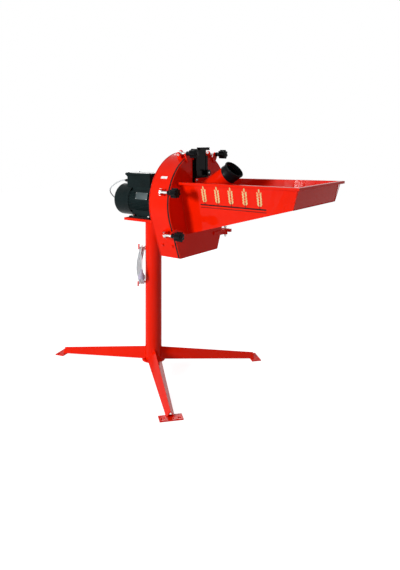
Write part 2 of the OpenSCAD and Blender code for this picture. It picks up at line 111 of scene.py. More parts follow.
def use(tree, group, inputs):
    """Place an effect group in a material, and give its outputs."""
    node = tree.nodes.new("ShaderNodeGroup")
    node.node_tree = group
    return feed(tree, node, inputs).outputs


# Uneven patches: a soft mask that comes and goes over the surface.
patches, given = effect_group(
    "patches",
    {"Place": ("Vector", None), "Scale": ("Float", 8.0), "Low": ("Float", 0.4), "High": ("Float", 0.65)},
    {"Mask": "Float"},
)
cloud = add(patches, "TexNoise", {"Vector": given["Place"], "Scale": given["Scale"], "Detail": 5.0})
ramp = add(
    patches, "MapRange", {"Value": cloud.outputs["Fac"], "From Min": given["Low"], "From Max": given["High"]}
)
close_group(patches, {"Mask": ramp.outputs["Result"]})

# Grain: a fine uneven height laid over whatever normal comes in.
grain, given = effect_group(
    "grain",
    {
        "Place": ("Vector", None),
        "Scale": ("Float", 400.0),
        "Depth": ("Float", 0.0001),
        "Normal": ("Vector", None),
    },
    {"Normal": "Vector"},
)
speck = add(grain, "TexNoise", {"Vector": given["Place"], "Scale": given["Scale"], "Detail": 3.0})
bump = add(
    grain,
    "Bump",
    {
        "Height": speck.outputs["Fac"],
        "Distance": given["Depth"],
        "Strength": 1.0,
        "Normal": given["Normal"],
    },
)
close_group(grain, {"Normal": bump.outputs["Normal"]})

# Settled dust: thin on upright faces, thicker on those that face up.
settled_dust, given = effect_group(
    "settled_dust",
    {"Place": ("Vector", None), "Scale": ("Float", 14.0), "Amount": ("Float", 0.3)},
    {"Mask": "Float"},
)
facing_up = add(settled_dust, "SeparateXYZ", {0: add(settled_dust, "NewGeometry").outputs["Normal"]})
lying = add(
    settled_dust,
    "MapRange",
    {"Value": facing_up.outputs["Z"], "From Min": 0.1, "From Max": 0.95, "To Min": 0.25},
)
drift = use(
    settled_dust, patches, {"Place": given["Place"], "Scale": given["Scale"], "Low": 0.35, "High": 0.75}
)["Mask"]
thick = add(settled_dust, "Math", {0: lying.outputs["Result"], 1: drift}, operation="MULTIPLY")
weighed = add(settled_dust, "Math", {0: thick.outputs[0], 1: given["Amount"]}, operation="MULTIPLY")
close_group(settled_dust, {"Mask": weighed.outputs[0]})

# Soft edges: rounds a folded or cut edge in the shading, and marks it for wear and for a painted highlight.
soft_edges, given = effect_group(
    "soft_edges", {"Radius": ("Float", 0.001)}, {"Normal": "Vector", "Edge": "Float"}
)
rounded = add(soft_edges, "Bevel", {"Radius": given["Radius"]}, samples=6)
turn_away = add(
    soft_edges,
    "VectorMath",
    {0: rounded.outputs["Normal"], 1: add(soft_edges, "NewGeometry").outputs["Normal"]},
    operation="DOT_PRODUCT",
)
edge = add(
    soft_edges,
    "MapRange",
    {"Value": turn_away.outputs["Value"], "From Min": 0.985, "From Max": 0.75},
)
close_group(soft_edges, {"Normal": rounded.outputs["Normal"], "Edge": edge.outputs["Result"]})


def blended(tree, below, above, mask):
    """One colour laid over another through a mask."""
    return add(tree, "Mix", {"Factor": mask, 6: below, 7: above}, data_type="RGBA").outputs[2]


def scaled(tree, mask, share, plus=0.0):
    """A mask made weaker, with something added."""
    return add(tree, "Math", {0: mask, 1: share, 2: plus}, operation="MULTIPLY_ADD").outputs[0]


def blank_material(name):
    """A material with its shader, the place that its patterns read, and nothing else."""
    material = bpy.data.materials.new(name)
    material.use_nodes = True
    tree = material.node_tree
    place = add(tree, "TexCoord").outputs["Object"]
    return material, tree, tree.nodes["Principled BSDF"], place


def moulding(name, colour, shade, roughness, grit, grit_depth, radius=0.0006, dust=0.25, gloss=0.2):
    """Moulded plastic or rubber: an even colour, edges painted lighter as a highlight, a fine skin and a
    little dust.
    """
    material, tree, shader, place = blank_material(name)
    edges = use(tree, soft_edges, {"Radius": radius})
    uneven = use(tree, patches, {"Place": place, "Scale": 22.0, "Low": 0.35, "High": 0.7})["Mask"]
    dusty = use(tree, settled_dust, {"Place": place, "Amount": dust})["Mask"]
    # Edges painted lighter: a painted highlight.
    rubbed = [c * 1.6 + 0.01 for c in colour[:3]] + [1]
    body = blended(tree, colour, shade, scaled(tree, uneven, 0.6))
    body = blended(tree, body, rubbed, scaled(tree, edges["Edge"], 0.35))
    skin = use(
        tree, grain, {"Place": place, "Scale": grit, "Depth": grit_depth, "Normal": edges["Normal"]}
    )
    feed(tree, shader, {
        "Base Color": blended(tree, body, screen(176, 168, 156), dusty),
        "Roughness": scaled(tree, uneven, 0.12, roughness),
        "Normal": skin["Normal"],
        "Specular IOR Level": gloss,
    })
    return material


white_pvc = moulding(
    "white_pvc", screen(214, 219, 222), screen(190, 197, 200), 0.42, 900, 0.00003, dust=0.35
)


def wear(material, *names):
    """Give CAD parts their finish."""
    for name in names:
        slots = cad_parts[name].data.materials
        slots.clear()
        slots.append(material)


HOOK_DIRECTION = math.radians(216.6)


def beside_hooks(out, across, up):
    """A point by the hooks: out along them, across toward the viewer, and up, in mm."""
    c, s = math.cos(HOOK_DIRECTION), math.sin(HOOK_DIRECTION)
    return Vector((out * c - across * s, out * s + across * c, up))


def eased(t):
    """A share from 0 to 1 that starts and stops gently."""
    t = min(max(t, 0), 1)
    return t * t * (3 - 2 * t)


HANK_MIDDLE, HANK_HALF, HANK_RADIUS = 555, 72, 26
HANK_FROM_COLUMN, HANK_PITCH, HANK_BELLY = 49, 7.6, 14
POINTS_A_TURN, HANK_POINTS, LAST_ROUND = 24, 100, 90


def hank_point(k):
    """A point of the hank, whose turns are long loops that belly out past the column."""
    j = k % POINTS_A_TURN
    if j < 4:
        angle, level = 22.5 * j, 1
    elif j < 8:
        angle, level = 90, 1 - (j - 4) / 2
    elif j <= 16:
        angle, level = 90 + 22.5 * (j - 8), -1
    elif j < 20:
        angle, level = 270, (j - 18) / 2
    else:
        angle, level = 270 + 22.5 * (j - 20), 1
    radius = HANK_RADIUS + 8 * eased((k - 84) / 6)
    up = level * HANK_HALF + radius * math.cos(math.radians(angle))
    out = HANK_FROM_COLUMN + HANK_PITCH * k / POINTS_A_TURN
    if k >= LAST_ROUND:
        out = 77.5 - 15 * eased((k - LAST_ROUND) / 6)
    belly = HANK_BELLY * max(1 - (up / 90) ** 2, 0) ** 1.5
    return beside_hooks(out + belly, radius * math.sin(math.radians(angle)), HANK_MIDDLE + up)


from_gland_to_hank = [
    (-160, -35, 1014), (-174, -35, 1014), (-188, -35, 1014), (-208, -36, 1011),
    (-231, -38, 1003), (-268, -39, 984), (-303, -30, 960), (-328, -3, 933),
    (-335, 36, 901), (-317, 75, 866), (-272, 102, 840), (-216, 108, 829),
    (-165, 103, 825), (-130, 99, 824.5), (-112, 98, 825.5), (-98, 100.5, 826),
    (-86.5, 107.5, 822), (-79, 114.5, 812), (-75, 118, 798), (-74, 116.5, 780),
    (-71, 108, 760), (-66.5, 93, 739), (-61.5, 73, 718), (-57, 53, 700),
    (-53, 33, 684), (-50, 14, 669.5), (-49.4, -1, 660.5), (-48.1, -11.1, 656.3),
    (-44.8, -21, 653.8), (-39.3, -29.2, 653),
]
tail_to_plug = [
    (62, 34, 616), (61.5, 35, 604), (61, 38, 591), (60, 43, 577), (60, 48, 564),
    (60, 50, 552), (60, 50, 545),
]
lead_route = [Vector(p) for p in from_gland_to_hank]
lead_route += [hank_point(k) for k in range(1, HANK_POINTS + 1)]
lead_route += [beside_hooks(*p) for p in tail_to_plug]
lead_route = [p / 1000 for p in lead_route]

lead_line = bpy.data.curves.new("mains_lead", "CURVE")
lead_line.dimensions = "3D"
lead_line.resolution_u = 4
lead_line.render_resolution_u = 4
lead_line.bevel_depth = 0.0035
lead_line.bevel_resolution = 3
lead_line.use_fill_caps = True
lead_spline = lead_line.splines.new("BEZIER")
last = len(lead_route) - 1
lead_spline.bezier_points.add(last)
for i, point in enumerate(lead_route):
    knot = lead_spline.bezier_points[i]
    reach = (lead_route[min(i + 1, last)] - lead_route[max(i - 1, 0)]) / 6
    knot.handle_left_type = "FREE"
    knot.handle_right_type = "FREE"
    knot.co = point
    knot.handle_left = point - reach
    knot.handle_right = point + reach
lead_line.materials.append(white_pvc)
mains_lead = bpy.data.objects.new("mains_lead", lead_line)
scene.collection.objects.link(mains_lead)


# Plug

# Round moulded two-pin plug in lilac-grey plastic, hanging below the hank. A ribbed
# sleeve is moulded on where the lead goes in, and grooves round the grip.

lilac_plastic = moulding(
    "lilac_plastic", screen(190, 182, 204), screen(166, 158, 184), 0.4, 700, 0.00004
)


def turned(shape, outline, place, steps=32):
    """Spin an outline of (radius, height) pairs about its own axis, and set it in place."""
    before = set(shape.verts)
    rim = [shape.verts.new((radius, 0, height)) for radius, height in outline]
    edges = [shape.edges.new(pair) for pair in zip(rim, rim[1:])]
    bmesh.ops.spin(
        shape, geom=rim + edges, cent=(0, 0, 0), axis=(0, 0, 1), dvec=(0, 0, 0),
        angle=math.tau, steps=steps, use_merge=True, use_duplicate=False,
    )
    made = [v for v in shape.verts if v not in before]
    bmesh.ops.transform(shape, matrix=place, verts=made)


def hoop(shape, section, place, steps=32):
    """Spin a closed section into a ring."""
    turned(shape, section + section[:1], place, steps)


def rib(shape, radii, height, halves, place, steps):
    """A raised ring on a turned part: radius at foot and crest, and half the width at each."""
    foot, crest = radii
    wide, narrow = halves
    section = [
        (foot, height - wide), (crest, height - narrow), (crest, height + narrow), (foot, height + wide)
    ]
    hoop(shape, section, place, steps)


def at(point, towards=(0, 0, 1), turn=0.0):
    """A place for a small part: its foot at a point and its own Z along a direction, in mm."""
    tilt = Vector(towards).to_track_quat("Z", "Y").to_matrix().to_4x4()
    return Matrix.Translation(point) @ tilt @ Matrix.Rotation(math.radians(turn), 4, "Z")


def finished(name, shape, material, body, crease=35):
    """Make a bmesh drawn in mm into a piece in metres that rides on a body."""
    bmesh.ops.remove_doubles(shape, verts=shape.verts, dist=0.001)
    bmesh.ops.recalc_face_normals(shape, faces=shape.faces)
    bmesh.ops.scale(shape, vec=(0.001, 0.001, 0.001), verts=shape.verts)
    mesh = bpy.data.meshes.new(name)
    shape.to_mesh(mesh)
    shape.free()
    mesh.materials.append(material)
    mesh.shade_smooth()
    mesh.set_sharp_from_angle(angle=math.radians(crease))
    piece = bpy.data.objects.new(name, mesh)
    scene.collection.objects.link(piece)
    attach(piece, body)
    return piece


wear(lilac_plastic, "plug")
plug_axis = at(beside_hooks(60, 50, 0))
plug_trim = bmesh.new()
for height in (497, 501.5, 506, 510):
    rib(plug_trim, (17.6, 18.5), height, (0.9, 0.4), plug_axis, 48)
for height in (531, 534.5, 538, 541.5):
    crest = 8.6 - (height - 528) * 0.15
    rib(plug_trim, (crest - 1.2, crest), height, (1, 0.6), plug_axis, 32)
plug_ribs = finished("plug_ribs", plug_trim, lilac_plastic, "stand")

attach(mains_lead, "stand")
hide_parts("cord_lead", "cord_hank")


# Stand

# Steel tube column with three legs, each folded from sheet into an inverted V and
# welded to the tube, with a flat drilled plate at the foot. Painted orange-red.


def brighter(colour, times, plus):
    """A colour made lighter, painted along an edge as a highlight."""
    return [min(c * times + plus, 1) for c in colour[:3]] + [1]


def painted(name, colour, deep, edge_colour=None, dust=0.02):
    """Sprayed paint on steel under a thin clear gloss: slight mottling, edges painted lighter as a highlight
    unless a colour of rubbed bare edges is given, chips, light dust.
    """
    material, tree, shader, place = blank_material(name)
    edges = use(tree, soft_edges, {"Radius": 0.0012})
    broad = use(tree, patches, {"Place": place, "Scale": 5.0, "Low": 0.35, "High": 0.7})["Mask"]
    handled = use(tree, patches, {"Place": place, "Scale": 60.0, "Low": 0.5, "High": 0.62})["Mask"]
    chipped = use(tree, patches, {"Place": place, "Scale": 130.0, "Low": 0.6, "High": 0.64})["Mask"]
    dusty = use(tree, settled_dust, {"Place": place, "Amount": dust})["Mask"]
    # The lighter edge colour is a painted highlight; where an edge colour is given, it is real rubbed wear.
    worn = edge_colour or brighter(colour, 1.4, 0.012)
    film = blended(tree, colour, deep, scaled(tree, broad, 0.45))
    film = blended(tree, film, worn, scaled(tree, edges["Edge"], 0.3))
    on_edge = add(tree, "Math", {0: edges["Edge"], 1: chipped}, operation="MULTIPLY").outputs[0]
    film = blended(tree, film, screen(88, 60, 50), scaled(tree, on_edge, 0.8))
    peel = use(
        tree, grain, {"Place": place, "Scale": 320.0, "Depth": 0.00004, "Normal": edges["Normal"]}
    )
    feed(tree, shader, {
        "Base Color": blended(tree, film, screen(196, 172, 150), dusty),
        "Roughness": scaled(tree, handled, 0.07, 0.2),
        "Normal": peel["Normal"],
        "Specular IOR Level": 0.03,
        "Coat Weight": 0.1,
        "Coat Roughness": 0.09,
    })
    return material


red_paint = painted("red_paint", screen(243, 30, 0), screen(226, 22, 0))
wear(
    red_paint, "column", "base_disc", "front_leg", "right_leg", "left_leg", "cable_hooks",
    "motor_plate", "bearing_housing", "back_plate", "drum_shell", "clamp_ears",
    "cover", "cover_forks", "cover_hinges",
    "tray_near_wall", "tray_far_wall", "tray_floor", "tray_end_wall",
)


def weld_bead(shape, points, size, pitch=0.55):
    """A run of weld: small overlapping drops laid along a line of points."""
    left = 0.0
    for a, b in zip(points, points[1:]):
        a, b = Vector(a), Vector(b)
        run = (b - a).length
        while left <= run:
            bmesh.ops.create_icosphere(
                shape, subdivisions=1, radius=size, matrix=Matrix.Translation(a.lerp(b, left / run))
            )
            left += size * pitch
        left -= run


def ring_of(radius, centre, steps=72, axis="Z"):
    """Points round a circle, closed."""
    spun = []
    for i in range(steps + 1):
        c, s = math.cos(math.tau * i / steps) * radius, math.sin(math.tau * i / steps) * radius
        spun.append(Vector(centre) + (Vector((c, s, 0)) if axis == "Z" else Vector((0, c, s))))
    return spun


AT_COLUMN = 44.6
stand_welds = bmesh.new()
for leg_direction in (-41, 49.5, 195.5):
    turn = Matrix.Rotation(math.radians(leg_direction), 3, "Z")
    saddle = []
    for i in range(-10, 11):
        across = 30.5 * i / 10
        out = math.sqrt(AT_COLUMN**2 - across**2)
        saddle.append(turn @ Vector((out, across, 110 - 55 * abs(across) / 37)))
    weld_bead(stand_welds, saddle, 2.2)
    for side in (-1, 1):
        foot_seam = [turn @ Vector((548, side * 20.1, 5)), turn @ Vector((569, side * 19.4, 5))]
        weld_bead(stand_welds, foot_seam, 1.6)
weld_bead(stand_welds, ring_of(44.8, (0, 0, 795.5)), 2.2)
hook_turn = Matrix.Rotation(HOOK_DIRECTION, 3, "Z")
for height in (645, 465):
    round_hook = ring_of(4.2, (AT_COLUMN, 0, height), 16, "X")
    weld_bead(stand_welds, [hook_turn @ p for p in round_hook], 1.4)
finished("stand_welds", stand_welds, red_paint, "stand", 80)


# Motor plate

# Shallow folded pan welded on top of the column, with two gussets to the mill's back.
# It gets weld runs under its edge and where the gussets meet the back plate.

plate_welds = bmesh.new()
for side in (-1, 1):
    weld_bead(plate_welds, [(185.5, side * 63.8, 702), (185.5, side * 63.8, 804)], 1.8)
    weld_bead(plate_welds, [(186, side * 20, 819.8), (186, side * 104, 819.8)], 1.8)
finished("plate_welds", plate_welds, red_paint, "stand", 80)


# Motor

# Fan-cooled electric motor: a ribbed cast body in dark green-black enamel, a pressed
# cowl over the fan, an end bell, and a blank aluminium rating plate held by rivets.


def cast_enamel(name, colour, deep, roughness, pitting, dust=0.02):
    """Brushed enamel over a rough casting, with ribs and edges painted paler as a highlight and dust in its
    lee.
    """
    material, tree, shader, place = blank_material(name)
    edges = use(tree, soft_edges, {"Radius": 0.0012})
    broad = use(tree, patches, {"Place": place, "Scale": 16.0, "Low": 0.35, "High": 0.7})["Mask"]
    fine = use(tree, patches, {"Place": place, "Scale": 210.0, "Low": 0.4, "High": 0.7})["Mask"]
    dusty = use(tree, settled_dust, {"Place": place, "Scale": 26.0, "Amount": dust})["Mask"]
    film = blended(tree, colour, deep, scaled(tree, broad, 0.7))
    # Edges painted paler: a painted highlight.
    film = blended(tree, film, brighter(colour, 2.4, 0.012), scaled(tree, edges["Edge"], 0.55))
    rough = use(
        tree, grain, {"Place": place, "Scale": 240.0, "Depth": pitting, "Normal": edges["Normal"]}
    )
    feed(tree, shader, {
        "Base Color": blended(tree, film, screen(168, 160, 148), dusty),
        "Roughness": scaled(tree, fine, 0.16, roughness),
        "Normal": rough["Normal"],
        "Specular IOR Level": 0.06,
    })
    return material


green_enamel = cast_enamel("green_enamel", screen(17, 33, 34), screen(9, 20, 21), 0.34, 0.00022)
cowl_enamel = cast_enamel("cowl_enamel", screen(14, 28, 29), screen(8, 18, 19), 0.26, 0.00006)
wear(green_enamel, "motor_body", "drive_end_bell")
wear(cowl_enamel, "fan_cowl")


def bare_metal(
    name, colour, stain, roughness, marks=(1, 1, 1), mark_depth=0.00002, mark_scale=600,
    stain_share=0.4, metallic=1.0,
):
    """Unpainted metal. Tool marks stretch across the axis that has the large factor."""
    material, tree, shader, place = blank_material(name)
    edges = use(tree, soft_edges, {"Radius": 0.0005})
    stretched = add(tree, "Mapping", {"Vector": place, "Scale": marks}).outputs["Vector"]
    streaks = use(
        tree, patches, {"Place": stretched, "Scale": mark_scale / 6, "Low": 0.3, "High": 0.75}
    )["Mask"]
    stained = use(tree, patches, {"Place": place, "Scale": 34.0, "Low": 0.45, "High": 0.7})["Mask"]
    skin = blended(tree, colour, stain, scaled(tree, stained, stain_share))
    lines = use(
        tree,
        grain,
        {"Place": stretched, "Scale": float(mark_scale), "Depth": mark_depth, "Normal": edges["Normal"]},
    )
    feed(tree, shader, {
        # Edges painted lighter: a painted highlight.
        "Base Color": blended(tree, skin, brighter(colour, 1.35, 0.05), scaled(tree, edges["Edge"], 0.5)),
        "Roughness": scaled(tree, streaks, 0.14, roughness),
        "Normal": lines["Normal"],
        "Metallic": metallic,
    })
    return material


zinc = bare_metal("zinc_plate", screen(206, 207, 205), screen(160, 160, 150), 0.26)
turned_steel = bare_metal(
    "turned_steel", screen(178, 178, 176), screen(120, 116, 110), 0.24, marks=(9, 0.4, 0.4)
)
laminations = bare_metal(
    "laminations", screen(120, 122, 124), screen(74, 70, 66), 0.42, marks=(14, 0.3, 0.3), mark_depth=0.0001
)
plate_aluminium = bare_metal(
    "plate_aluminium", screen(56, 70, 72), screen(42, 54, 56), 0.5, marks=(0.3, 1, 12), metallic=0.3
)
black_plastic = moulding(
    "black_plastic", screen(24, 24, 25), screen(14, 14, 15), 0.3, 500, 0.00005, dust=0.12
)
wear(laminations, "stator_core", "motor_rotor")
wear(turned_steel, "motor_shaft", "mill_shaft", "ball_bearings")
wear(zinc, "hex_bolts")
wear(black_plastic, "cooling_fan")


def block(shape, place, size, rounding):
    """A box with rounded edges, centred on its place."""
    before = set(shape.edges)
    bmesh.ops.create_cube(shape, size=1, matrix=place @ Matrix.Diagonal((*size, 1)))
    edges = [e for e in shape.edges if e not in before]
    bmesh.ops.bevel(
        shape, geom=edges, offset=rounding, affect="EDGES", segments=2, profile=0.5, material=-1
    )


def pan_head(shape, place, radius):
    """A domed screw or rivet head."""
    rise = radius * 0.55
    outline = [
        (0, 0), (radius, 0), (radius, rise * 0.4),
        (radius * 0.8, rise * 0.85), (radius * 0.4, rise), (0, rise),
    ]
    turned(shape, outline, place, 20)


washers = bmesh.new()
washer_section = [(9.4, 828), (9.9, 828.2), (9.9, 829.6), (9.4, 829.8), (8.1, 829.8), (8.1, 828)]
for x in (-85, 30):
    for y in (-70, 70):
        hoop(washers, washer_section, at((x, y, 0)))
finished("foot_washers", washers, zinc, "stand")

SHAFT_HEIGHT = 909
cowl_screws = bmesh.new()
for i in range(4):
    a = math.radians(74 + 90 * i)
    outward = Vector((0, math.cos(a), math.sin(a)))
    pan_head(cowl_screws, at(Vector((-122, 0, SHAFT_HEIGHT)) + outward * 87.3, outward), 4)
finished("cowl_screws", cowl_screws, cowl_enamel, "stand")

plate_angle = math.radians(-6)
plate_middle = (-8, -88.4 * math.cos(plate_angle), SHAFT_HEIGHT - 88.4 * math.sin(plate_angle) + 22)
on_plate = Matrix.Translation(plate_middle) @ Matrix.Rotation(math.radians(90 - 14), 4, "X")
rating_plate = bmesh.new()
block(rating_plate, on_plate, (84, 38, 1.2), 0.45)
finished("rating_plate", rating_plate, plate_aluminium, "stand")
plate_rivets = bmesh.new()
for side in (-1, 1):
    for height in (-1, 1):
        spot = on_plate @ Vector((side * 38, height * 15, 0.5))
        pan_head(plate_rivets, at(spot, on_plate.to_3x3() @ Vector((0, 0, 1))), 1.9)
finished("plate_rivets", plate_rivets, zinc, "stand")


# Terminal box

# Cast box on the motor's back with a thick overhanging lid on a rubber gasket, and a
# black compression gland that grips the lead.

rubber = moulding(
    "seal_rubber", screen(15, 15, 16), screen(10, 10, 11), 0.5, 300, 0.00008, dust=0.04, gloss=0.08
)
wear(cowl_enamel, "terminal_box", "terminal_lid")
wear(black_plastic, "cable_gland")
lid_gasket = bmesh.new()
block(lid_gasket, Matrix.Translation((-66, 0, 1045.5)), (174, 108, 3), 0.8)
finished("lid_gasket", lid_gasket, rubber, "stand")

lid_screws = bmesh.new()
screw_outline = [(0, 1061), (3.9, 1061), (4.4, 1061.6), (4.3, 1062.6), (3, 1063.6), (1.6, 1064), (0, 1064)]
for x in (-145, 11):
    for y in (-43, 43):
        turned(lid_screws, screw_outline, at((x, y, 0)), 24)
finished("lid_screws", lid_screws, zinc, "stand")

gland_ribs = bmesh.new()
for x in (-161.5, -164.5, -167.5, -170.5, -173.5):
    cone = 5.2 + (x + 180) * 3.8 / 24
    rib(gland_ribs, (cone - 0.6, cone + 0.7), 0, (0.9, 0.5), at((x, -35, 1014), (1, 0, 0)), 24)
finished("gland_ribs", gland_ribs, black_plastic, "stand")


# Drive

# Jaw coupling in cast iron with a rubber spider between the motor and the mill, and a
# bearing housing bolted to the mill's back with a brass grease nipple on top.

cast_iron = cast_enamel("cast_iron", screen(78, 78, 76), screen(52, 48, 45), 0.55, 0.0004, dust=0.3)
brass = bare_metal("brass", screen(214, 178, 96), screen(150, 118, 60), 0.3)
wear(cast_iron, "shaft_coupling", "rotor_discs")
spider = bmesh.new()
for k in range(6):
    arm = Matrix.Translation((130, 0, SHAFT_HEIGHT)) @ Matrix.Rotation(math.radians(60 * k + 30), 4, "X")
    block(spider, arm @ Matrix.Translation((0, 0, 24.5)), (11, 8, 9), 1.2)
finished("coupling_spider", spider, rubber, "rotor")


def hexagon(shape, place, radius, height, washer=0.0):
    """A chamfered hexagon head, and a plain washer under it when one is asked for."""
    lift = 1.2 if washer else 0.0
    before = set(shape.edges)
    bmesh.ops.create_cone(
        shape, cap_ends=True, segments=6, radius1=radius, radius2=radius, depth=height,
        matrix=place @ Matrix.Translation((0, 0, height / 2 + lift)),
    )
    edges = [e for e in shape.edges if e not in before]
    bmesh.ops.bevel(
        shape, geom=edges, offset=radius * 0.07, affect="EDGES", segments=2, profile=0.5, material=-1
    )
    if washer:
        turned(shape, [(0, 0), (washer, 0), (washer, 0.9), (washer - 0.4, 1.3), (0, 1.3)], place, 24)


nipple = bmesh.new()
hexagon(nipple, at((170, 0, 948.5)), 5, 4)
nipple_outline = [
    (0, 0), (3, 0), (3, 3.5), (1.9, 4.5), (1.9, 6), (2.8, 7), (2.8, 8), (1.6, 9.5), (0, 9.8)
]
turned(nipple, nipple_outline, at((170, 0, 952)), 20)
finished("grease_nipple", nipple, brass, "stand")


# Drum

# Rolled sheet shell welded round a flat back plate, open at the bottom. Two bolts in
# each straight side hold the ends of the sieve's ledges, and a small white patch shaped
# as a blank label on the rim is a painted highlight, a lamp's reflection.

DRUM_HEIGHT, DRUM_RADIUS = 930, 246
DRUM_SIDE = math.radians(21.3)


def drum_outline(radius, x, down=272):
    """Points round the drum from one bottom corner over the top to the other."""
    steps = 90
    foot = (radius - math.sin(DRUM_SIDE) * down) / math.cos(DRUM_SIDE)
    points = [(x, -foot, DRUM_HEIGHT - down)]
    sweep = math.pi + 2 * DRUM_SIDE
    for i in range(steps + 1):
        a = -DRUM_SIDE + sweep * i / steps
        points.append((x, -radius * math.cos(a), DRUM_HEIGHT + radius * math.sin(a)))
    return points + [(x, foot, DRUM_HEIGHT - down)]


drum_welds = bmesh.new()
weld_bead(drum_welds, drum_outline(246.2, 190.6), 2.0, 0.7)
weld_bead(drum_welds, ring_of(54.5, (187, 0, SHAFT_HEIGHT), 72, "X"), 2.0, 0.7)
finished("drum_welds", drum_welds, red_paint, "stand", 80)


def touch(node, start, towards):
    """Where a line from a point first meets a CAD part, and which way its face looks, in mm."""
    start, towards = Vector(start), Vector(towards).normalized()
    met, place, normal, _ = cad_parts[node].ray_cast(start / 1000, towards)
    if not met:
        raise ValueError(f"nothing of {node} lies that way from {tuple(start)}")
    return place * 1000, normal


sieve_bolts = bmesh.new()
for side in (-1, 1):
    for x in (222, 284):
        spot, facing = touch("drum_shell", (x, side * 400, 722), (0, -side, 0))
        hexagon(sieve_bolts, at(spot - facing * 0.2, facing), 6.5, 4.5, washer=8.5)
finished("sieve_bolts", sieve_bolts, red_paint, "stand")


def printed(name, colour, worn):
    """Flat screen ink, rubbed thin in places so that what is below shows through."""
    material, tree, shader, place = blank_material(name)
    rubbed = use(tree, patches, {"Place": place, "Scale": 110.0, "Low": 0.54, "High": 0.66})["Mask"]
    level = add(tree, "NewGeometry").outputs["Normal"]
    film = use(tree, grain, {"Place": place, "Scale": 500.0, "Depth": 0.00003, "Normal": level})
    feed(tree, shader, {
        "Base Color": blended(tree, colour, worn, scaled(tree, rubbed, 0.75)),
        "Roughness": scaled(tree, rubbed, 0.2, 0.4),
        "Normal": film["Normal"],
        "Specular IOR Level": 0.1,
    })
    return material


# White patch on the rim: a painted highlight standing for a lamp's reflection, drawn as a blank label.
highlight_white = printed("highlight_white", screen(242, 242, 238), screen(226, 222, 214))
highlight_lean = math.radians(31.4)
highlight_outward = Vector((0, -math.cos(highlight_lean), math.sin(highlight_lean)))
highlight_place = at(Vector((254.5, 0, DRUM_HEIGHT)) + highlight_outward * 246.2, highlight_outward)
highlight_label = bmesh.new()
bmesh.ops.create_cube(highlight_label, size=1, matrix=highlight_place @ Matrix.Diagonal((40, 13, 0.8, 1)))
highlight_corners = [
    e for e in highlight_label.edges if abs((e.verts[0].co - e.verts[1].co).dot(highlight_outward)) > 0.5
]
bmesh.ops.bevel(
    highlight_label, geom=highlight_corners, offset=1.5, affect="EDGES", segments=3, profile=0.5, material=-1
)
finished("highlight_label", highlight_label, highlight_white, "stand")


# Rotor and sieve

# Three steel discs on the mill shaft carry four pins with flat swinging hammers and
# spacer tubes. A punched sieve curves round their lower half.

mill_steel = bare_metal(
    "mill_steel", screen(128, 126, 124), screen(70, 60, 54), 0.4,
    stain_share=0.65, mark_depth=0.00006, mark_scale=300,
)
wear(mill_steel, "sieve", "hammers_1", "hammers_2", "hammers_3", "hammers_4")
wear(turned_steel, "hammer_pins", "hammer_spacers")
PIN_CIRCLE = 95
split_pins = bmesh.new()
for k in range(4):
    a = math.radians(45 + 90 * k)
    centre = Vector((291.4, PIN_CIRCLE * math.cos(a), SHAFT_HEIGHT + PIN_CIRCLE * math.sin(a)))
    across = Vector((0, -math.sin(a), math.cos(a)))
    bmesh.ops.create_cone(
        split_pins, cap_ends=True, segments=10, radius1=1.2, radius2=1.2, depth=20,
        matrix=at(centre, across),
    )
finished("split_pins", split_pins, zinc, "rotor")


# Clamps

# Four swing bolts pivot between ears welded to the shell. Each drops into a slotted
# fork on the cover, and a black star knob with a steel insert screws down on it.

gloss_black = moulding(
    "gloss_black", screen(9, 10, 13), screen(5, 6, 8), 0.14, 260, 0.00004,
    radius=0.0012, dust=0.01, gloss=0.08,
)
wear(zinc, "pivot_pins", "swing_bolt_1", "swing_bolt_2", "swing_bolt_3", "swing_bolt_4")


def on_rim(lean):
    """A clamp's lean, with its place on the round part of the drum's rim."""
    a = math.radians(lean)
    return lean, -DRUM_RADIUS * math.cos(a), DRUM_HEIGHT + DRUM_RADIUS * math.sin(a)


def at_clamp(lean, y, z):
    """A clamp's own frame: its Y points from the rim to the drum, its Z along the rim."""
    return Matrix.Translation((0, y, z)) @ Matrix.Rotation(math.radians(-lean), 4, "X")


CLAMPS = [on_rim(13.2), on_rim(64.6), on_rim(120), (-21.3, -209.9, 791)]
THREAD_PITCH, THREAD_TURNS, THREAD_STEPS = 1.75, 18, 14

for number, clamp in enumerate(CLAMPS, 1):
    to_bolt = at_clamp(*clamp) @ Matrix.Translation((0, -25, 0)) @ Matrix.Rotation(math.radians(90), 4, "Y")
    wear(gloss_black, f"clamp_knob_{number}")

    thread = bmesh.new()
    ridge = [thread.verts.new(spot) for spot in ((5.7, 0, 290), (6.45, 0, 290.9), (5.7, 0, 291.8))]
    flanks = [thread.edges.new(pair) for pair in zip(ridge, ridge[1:])]
    bmesh.ops.spin(
        thread, geom=ridge + flanks, cent=(0, 0, 0), axis=(0, 0, 1),
        dvec=(0, 0, THREAD_PITCH / THREAD_STEPS), angle=math.tau * THREAD_TURNS,
        steps=THREAD_TURNS * THREAD_STEPS, use_merge=False, use_duplicate=False,
    )
    bmesh.ops.transform(thread, matrix=to_bolt, verts=thread.verts)
    finished(f"bolt_thread_{number}", thread, zinc, f"bolt_{number}", 60)

    insert = bmesh.new()
    hoop(insert, [(6.3, 323), (10.2, 323), (10.2, 324.6), (6.3, 324.6)], to_bolt)
    finished(f"knob_insert_{number}", insert, zinc, f"knob_{number}")
    cap = bmesh.new()
    cap_outline = [(0, 382), (9.4, 382), (9.4, 384), (8.6, 384.9), (5.6, 386), (2.6, 386.6), (0, 386.8)]
    turned(cap, cap_outline, to_bolt)
    finished(f"knob_cap_{number}", cap, gloss_black, f"knob_{number}")


# Cover

# Flat steel door of the drum's outline on a black rubber seal. Forks for the swing
# bolts are welded to its rim, and two strap hinges with steel pins hold its far side.

wear(rubber, "cover_seal")


def shift_new(shape, extruded, by):
    """Move the vertices that an extrusion made."""
    new = [v for v in extruded["geom"] if isinstance(v, bmesh.types.BMVert)]
    bmesh.ops.translate(shape, verts=new, vec=by)
